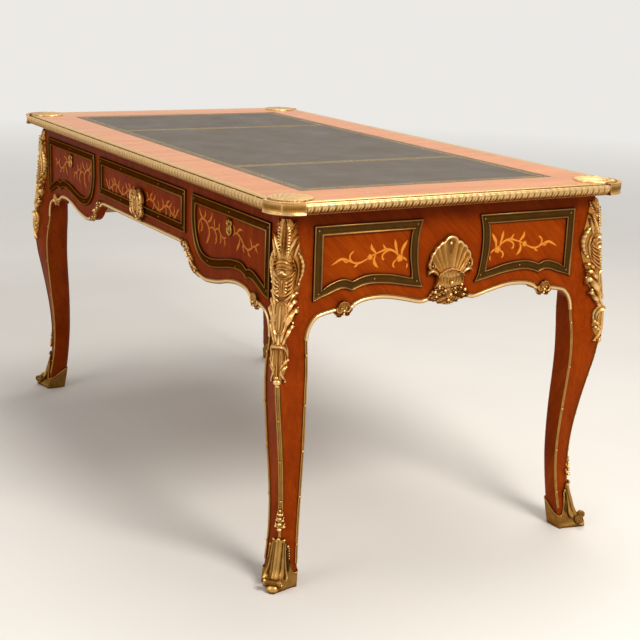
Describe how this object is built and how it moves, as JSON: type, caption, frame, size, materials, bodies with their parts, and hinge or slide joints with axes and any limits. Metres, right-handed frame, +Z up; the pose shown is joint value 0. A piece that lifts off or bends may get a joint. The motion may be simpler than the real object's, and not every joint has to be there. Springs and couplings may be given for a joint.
{
  "type": "bureau plat",
  "caption": "Flat writing desk with a leather top in a gilt rim, lockable drawers in a shaped apron with a kneehole, and cabriole legs with bronze mounts.",
  "frame": {"origin": "on the floor under the middle of the desk", "axes": "+X along the desk's length, to the right of someone who faces the drawers; -Y towards the person who sits at the drawers; +Z up"},
  "size_m": [1.554, 0.838, 0.783],
  "materials": {
    "veneer": "polished, with marquetry on the panels",
    "drawer_wood": "plain planed wood inside the drawers and under the top",
    "gilt_bronze": "gilt, burnished on the high places",
    "dark_brass": "darkened, with rubbed edges",
    "leather": "black, gold-tooled",
    "steel": "plain"
  },
  "bodies": {
    "desk": {"top_board": "veneer", "leather_panels": "leather", "rim_front": "gilt_bronze", "rim_back": "gilt_bronze", "rim_left": "gilt_bronze", "rim_right": "gilt_bronze", "corner_caps": "gilt_bronze", "leg_front_left": "veneer", "leg_front_right": "veneer", "leg_back_left": "veneer", "leg_back_right": "veneer", "sabot_front_left": "gilt_bronze", "sabot_front_right": "gilt_bronze", "sabot_back_left": "gilt_bronze", "sabot_back_right": "gilt_bronze", "leg_chutes": "gilt_bronze", "arris_fillets": "gilt_bronze", "leg_husks": "gilt_bronze", "leg_fillets": "dark_brass", "bead_front": "gilt_bronze", "bead_back": "gilt_bronze", "bead_left": "gilt_bronze", "bead_right": "gilt_bronze", "bead_clasps": "gilt_bronze", "shell_left": "gilt_bronze", "shell_right": "gilt_bronze", "kneehole_scrolls": "gilt_bronze", "apron_frames": "dark_brass", "apron_left": "veneer", "apron_right": "veneer", "apron_back": "veneer", "back_plates": "gilt_bronze", "front_rail_top": "veneer", "front_rail_center": "veneer", "front_rail_left": "veneer", "front_rail_right": "veneer", "front_stiles": "veneer", "partitions": "drawer_wood", "drawer_runners": "drawer_wood"},
    "drawer_left": {"drawer_left_front": "veneer", "drawer_left_box": "drawer_wood", "drawer_left_bottom": "drawer_wood", "drawer_left_frame": "dark_brass", "drawer_left_plate": "gilt_bronze", "drawer_left_lock": "steel"},
    "bolt_left": {"drawer_left_bolt": "steel"},
    "drawer_center": {"drawer_center_front": "veneer", "drawer_center_box": "drawer_wood", "drawer_center_bottom": "drawer_wood", "drawer_center_frame": "dark_brass", "drawer_center_crest": "gilt_bronze", "drawer_center_lock": "steel"},
    "bolt_center": {"drawer_center_bolt": "steel"},
    "drawer_right": {"drawer_right_front": "veneer", "drawer_right_box": "drawer_wood", "drawer_right_bottom": "drawer_wood", "drawer_right_frame": "dark_brass", "drawer_right_plate": "gilt_bronze", "drawer_right_lock": "steel"},
    "bolt_right": {"drawer_right_bolt": "steel"}
  },
  "joints": [
    {"name": "drawer_left_slide", "type": "slide", "parent": "desk", "child": "drawer_left", "axis": [0, -1, 0], "range_m": [0, 0.36]},
    {"name": "drawer_center_slide", "type": "slide", "parent": "desk", "child": "drawer_center", "axis": [0, -1, 0], "range_m": [0, 0.36]},
    {"name": "drawer_right_slide", "type": "slide", "parent": "desk", "child": "drawer_right", "axis": [0, -1, 0], "range_m": [0, 0.36]},
    {"name": "bolt_left_slide", "type": "slide", "parent": "drawer_left", "child": "bolt_left", "axis": [0, 0, 1], "range_m": [0, 0.008]},
    {"name": "bolt_center_slide", "type": "slide", "parent": "drawer_center", "child": "bolt_center", "axis": [0, 0, 1], "range_m": [0, 0.008]},
    {"name": "bolt_right_slide", "type": "slide", "parent": "drawer_right", "child": "bolt_right", "axis": [0, 0, 1], "range_m": [0, 0.008]}
  ]
}
